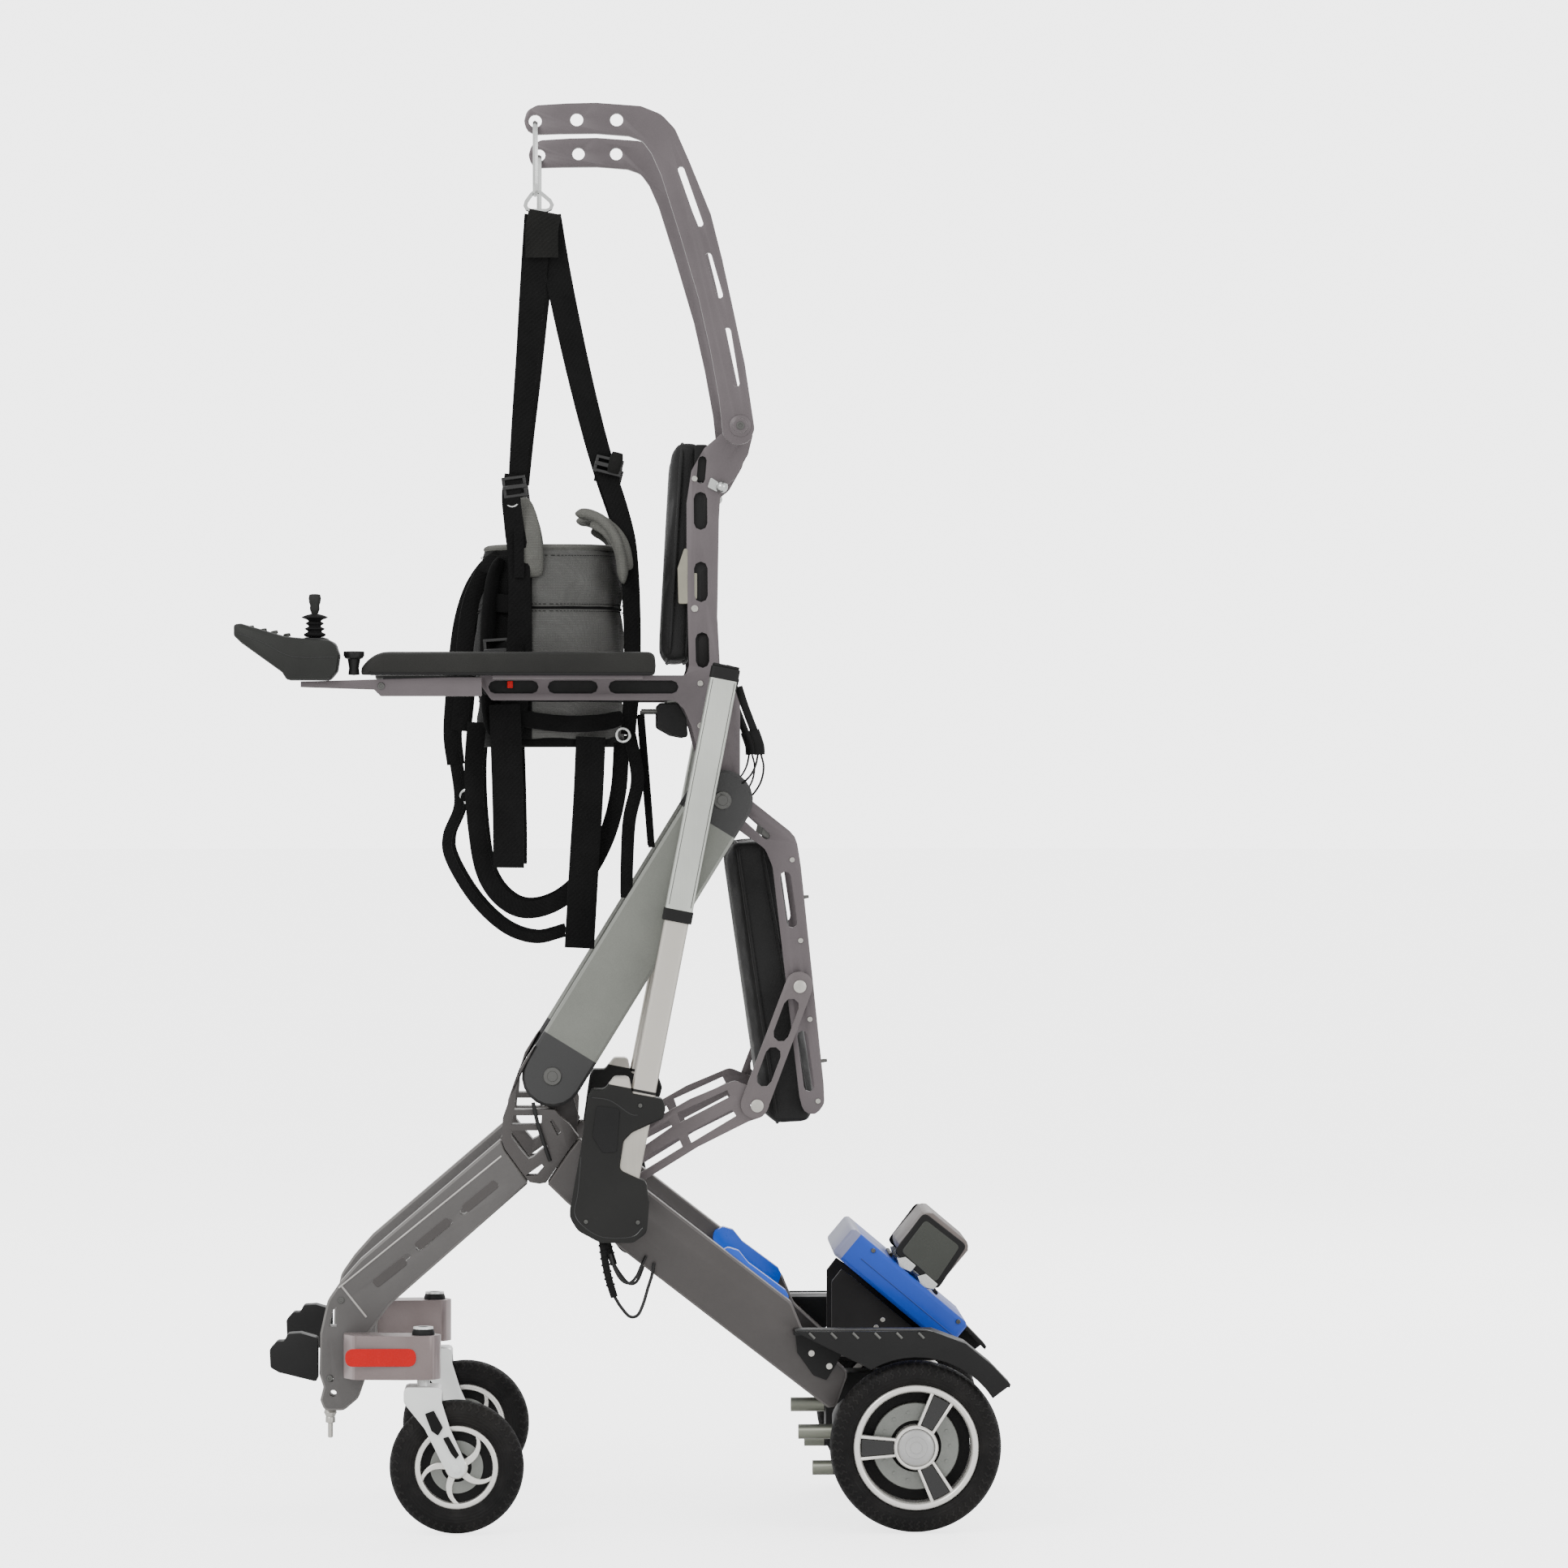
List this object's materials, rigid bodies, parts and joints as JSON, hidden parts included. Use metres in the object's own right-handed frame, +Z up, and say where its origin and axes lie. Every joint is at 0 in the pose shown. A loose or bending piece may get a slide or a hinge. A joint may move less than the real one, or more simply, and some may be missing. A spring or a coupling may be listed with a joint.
{
  "type": "sit to stand lift",
  "caption": "Powered sit-to-stand lift: wheeled base, swinging columns with linear actuators, backrest, folding seat, armrests and a body harness hung from overhead arms.",
  "frame": {"origin": "centre of the footprint's bounding box, on the floor", "axes": "+Z up; -X is the front, where the joystick reaches out, and +X the end with the drive wheels; -Y is the user's left"},
  "size_m": [1.0827, 0.606, 2],
  "materials": {
    "plate_grey": "satin",
    "rail_grey": "satin",
    "leg_grey": "satin",
    "bracket_mauve": "satin",
    "column_grey": "satin",
    "link_grey": "satin",
    "chassis_black": "satin",
    "tube_silver": "satin",
    "steel_bright": "polished",
    "black_plastic": "matte",
    "soft_grip": "matte",
    "guard_blue": "gloss",
    "case_blue": "satin",
    "shell_grey": "satin",
    "rim_silver": "satin",
    "tyre_black": "matte",
    "webbing_black": "woven",
    "harness_grey": "woven",
    "upholstery_black": "matte"
  },
  "bodies": {
    "base": {"rear_rail_left": "rail_grey", "rear_rail_right": "rail_grey", "front_leg_left": "leg_grey", "front_leg_right": "leg_grey", "apex_bracket_left": "rail_grey", "apex_bracket_right": "rail_grey", "front_bumper_left": "black_plastic", "front_bumper_right": "black_plastic", "caster_arm_left": "bracket_mauve", "caster_arm_right": "bracket_mauve", "drive_motor_left": "black_plastic", "drive_motor_right": "black_plastic", "fender_left": "black_plastic", "fender_right": "black_plastic", "rail_guard_left": "guard_blue", "rail_guard_right": "guard_blue", "rear_chassis": "chassis_black", "battery_case": "case_blue", "control_unit": "shell_grey"},
    "swing_arm": {"column_left": "column_grey", "column_right": "column_grey", "cross_shaft": "steel_bright"},
    "carriage": {"side_plate_left": "plate_grey", "side_plate_right": "plate_grey", "armrest_pad_left": "soft_grip", "armrest_pad_right": "soft_grip", "backrest_pad": "upholstery_black", "backrest_frame": "chassis_black", "joystick_arm": "plate_grey", "joystick_housing": "black_plastic"},
    "actuator_lower_left": {"actuator_housing_left": "black_plastic"},
    "actuator_lower_right": {"actuator_housing_right": "black_plastic"},
    "actuator_upper_left": {"actuator_sleeve_left": "tube_silver"},
    "actuator_upper_right": {"actuator_sleeve_right": "tube_silver"},
    "seat": {"seat_plate_left": "plate_grey", "seat_plate_right": "plate_grey", "seat_pad": "upholstery_black"},
    "seat_links": {"seat_link_left": "link_grey", "seat_link_right": "link_grey"},
    "seat_arms": {"seat_arm_left": "link_grey", "seat_arm_right": "link_grey"},
    "hanger": {"hanger_arm_left": "plate_grey", "hanger_arm_right": "plate_grey", "hanger_cross_bar": "plate_grey"},
    "harness": {"hook_left": "steel_bright", "hook_right": "steel_bright", "suspension_strap_left": "webbing_black", "suspension_strap_right": "webbing_black", "leg_strap_left": "webbing_black", "leg_strap_right": "webbing_black", "harness_vest": "harness_grey"},
    "caster_swivel_left": {"caster_fork_left": "steel_bright"},
    "caster_swivel_right": {"caster_fork_right": "steel_bright"},
    "caster_roll_left": {"caster_wheel_left": "tyre_black"},
    "caster_roll_right": {"caster_wheel_right": "tyre_black"},
    "drive_wheel_left": {"drive_tyre_left": "tyre_black", "drive_rim_left": "rim_silver"},
    "drive_wheel_right": {"drive_tyre_right": "tyre_black", "drive_rim_right": "rim_silver"},
    "joystick_stick": {"joystick_lever": "black_plastic"}
  },
  "joints": [
    {"name": "lift", "type": "hinge", "parent": "base", "child": "swing_arm", "pos_m": [-0.0984, 0, 0.6362], "axis": [0, 1, 0], "range_deg": [0, 52.8], "deforming": ["leg_strap_left", "leg_strap_right"]},
    {"name": "carriage_level", "type": "hinge", "parent": "swing_arm", "child": "carriage", "pos_m": [0.1402, 0, 1.0231], "axis": [0, 1, 0], "range_deg": [-52.9, 0]},
    {"name": "seat_fold", "type": "hinge", "parent": "carriage", "child": "seat", "pos_m": [0.1402, 0, 1.0231], "axis": [0, 1, 0], "range_deg": [0, 85.7]},
    {"name": "seat_link_turn", "type": "hinge", "parent": "seat", "child": "seat_links", "pos_m": [0.2494, 0, 0.761], "axis": [0, 1, 0], "range_deg": [-135.7, 0]},
    {"name": "seat_arm_turn", "type": "hinge", "parent": "base", "child": "seat_arms", "pos_m": [-0.0306, 0, 0.492], "axis": [0, 1, 0], "range_deg": [0, 48.5]},
    {"name": "hanger_tilt", "type": "hinge", "parent": "carriage", "child": "hanger", "pos_m": [0.1649, 0, 1.5481], "axis": [0, 1, 0], "range_deg": [-10, 0]},
    {"name": "harness_swing", "type": "hinge", "parent": "hanger", "child": "harness", "pos_m": [-0.1221, 0, 1.974], "axis": [0, 1, 0], "range_deg": [0, 10.1]},
    {"name": "actuator_pivot_left", "type": "hinge", "parent": "base", "child": "actuator_lower_left", "pos_m": [-0.0026, -0.262, 0.4537], "axis": [0, 1, 0], "range_deg": [0, 31]},
    {"name": "actuator_extend_left", "type": "slide", "parent": "actuator_lower_left", "child": "actuator_upper_left", "axis": [0.191, 0, 0.9816], "range_m": [-0.2269, 0]},
    {"name": "caster_swivel_left", "type": "hinge", "parent": "base", "child": "caster_swivel_left", "pos_m": [-0.2781, -0.27, 0.17], "axis": [0, 0, 1], "continuous": true},
    {"name": "caster_roll_left", "type": "hinge", "parent": "caster_swivel_left", "child": "caster_roll_left", "pos_m": [-0.2316, -0.27, 0.0938], "axis": [0, 1, 0], "continuous": true},
    {"name": "drive_roll_left", "type": "hinge", "parent": "base", "child": "drive_wheel_left", "pos_m": [0.4094, -0.27, 0.12], "axis": [0, 1, 0], "continuous": true},
    {"name": "actuator_pivot_right", "type": "hinge", "parent": "base", "child": "actuator_lower_right", "pos_m": [-0.0026, 0.262, 0.4537], "axis": [0, 1, 0], "range_deg": [0, 31]},
    {"name": "actuator_extend_right", "type": "slide", "parent": "actuator_lower_right", "child": "actuator_upper_right", "axis": [0.191, 0, 0.9816], "range_m": [-0.2269, 0]},
    {"name": "caster_swivel_right", "type": "hinge", "parent": "base", "child": "caster_swivel_right", "pos_m": [-0.2781, 0.27, 0.17], "axis": [0, 0, 1], "continuous": true},
    {"name": "caster_roll_right", "type": "hinge", "parent": "caster_swivel_right", "child": "caster_roll_right", "pos_m": [-0.2316, 0.27, 0.0938], "axis": [0, 1, 0], "continuous": true},
    {"name": "drive_roll_right", "type": "hinge", "parent": "base", "child": "drive_wheel_right", "pos_m": [0.4094, 0.27, 0.12], "axis": [0, 1, 0], "continuous": true},
    {"name": "joystick_tilt", "type": "hinge", "parent": "carriage", "child": "joystick_stick", "pos_m": [-0.4299, -0.25, 1.2455], "axis": [0, 1, 0], "range_deg": [-15, 15], "stiffness_Nm_per_rad": 0.4}
  ],
  "couplings": [
    {"joint": "carriage_level", "follows": "lift", "ratio": -1},
    {"joint": "seat_fold", "follows": "lift", "ratio": 1.6207},
    {"joint": "seat_link_turn", "follows": "lift", "ratio": -2.5662},
    {"joint": "seat_arm_turn", "follows": "lift", "ratio": 0.9155},
    {"joint": "harness_swing", "follows": "hanger_tilt", "ratio": -1},
    {"joint": "actuator_pivot_left", "follows": "lift", "ratio": 0.5841},
    {"joint": "actuator_extend_left", "follows": "lift", "m_per_rad": -0.2459},
    {"joint": "actuator_pivot_right", "follows": "lift", "ratio": 0.5841},
    {"joint": "actuator_extend_right", "follows": "lift", "m_per_rad": -0.2459}
  ]
}
